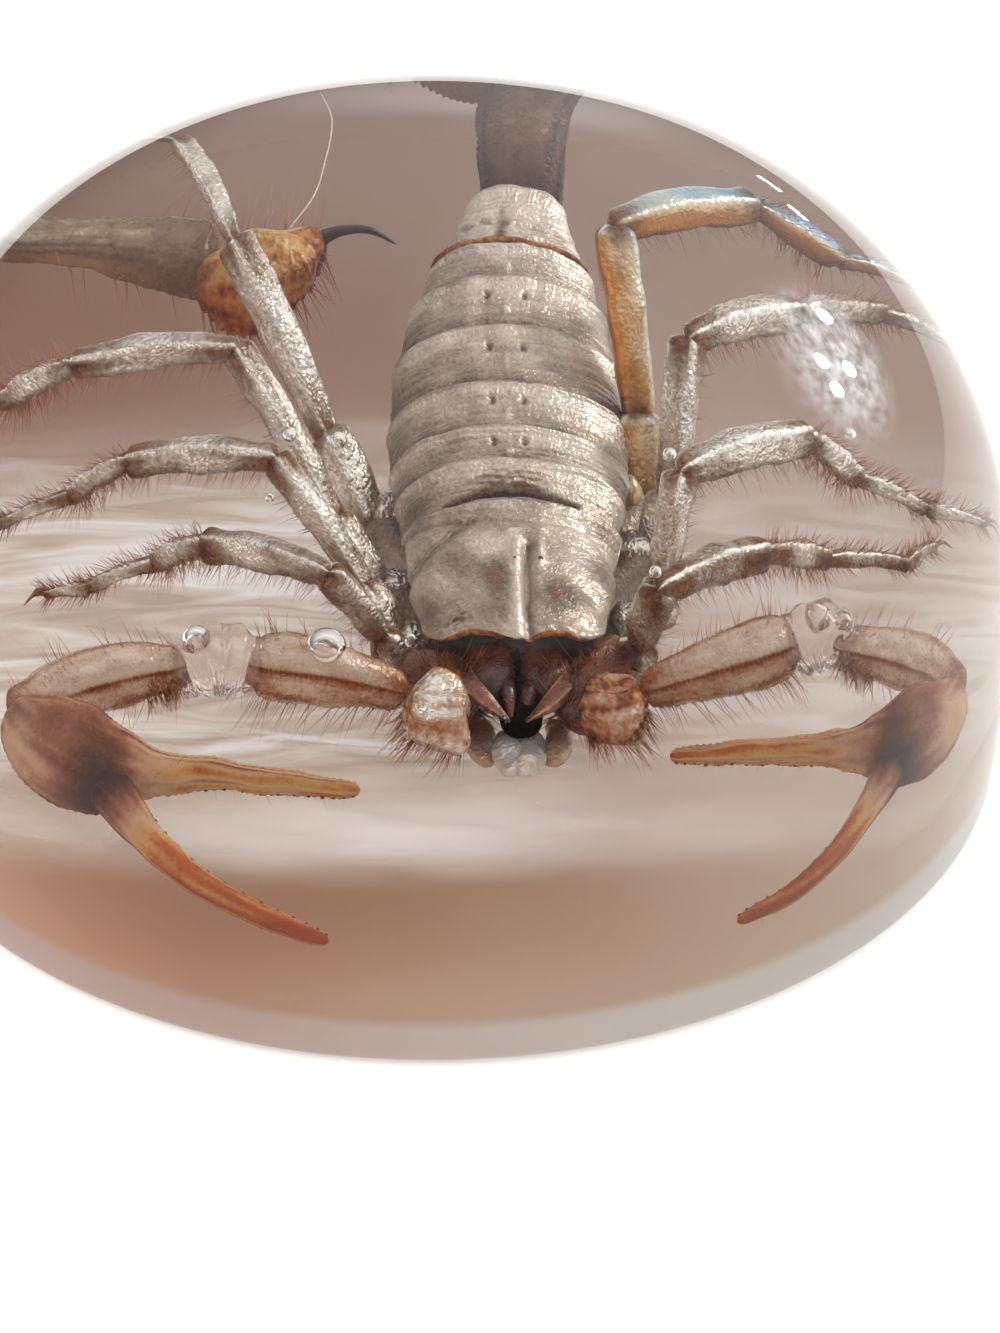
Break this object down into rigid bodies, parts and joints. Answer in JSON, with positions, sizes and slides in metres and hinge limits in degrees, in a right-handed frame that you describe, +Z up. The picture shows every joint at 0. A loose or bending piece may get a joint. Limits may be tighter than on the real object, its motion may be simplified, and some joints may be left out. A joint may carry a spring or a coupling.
{
  "type": "scorpion in resin dome",
  "caption": "Clear cast resin dome paperweight with a short upright wall and a flat base, a pale dried scorpion sealed inside.",
  "frame": {"origin": "centre of the flat base, on the surface that the dome stands on", "axes": "+Z up along the dome's axis, -Y towards the scorpion's head and claws, +X to the right as the scorpion is faced"},
  "size_m": [0.05, 0.05, 0.0265],
  "materials": {
    "clear_resin": "clear cast resin with a warm tint, polished",
    "pale_cuticle": "dried scorpion cuticle, pearly where air has crept under it",
    "amber_cuticle": "hard translucent amber cuticle of the claws and the sting",
    "dark_cuticle": "dark brown hardened cuticle of the chelicerae, eyes, teeth and sting tip",
    "bristle": "fine red-brown sensory hairs",
    "air": "air bubbles and the silky seam between the two pours of resin"
  },
  "bodies": {
    "root": {"resin_dome": "clear_resin"}
  },
  "joints": []
}
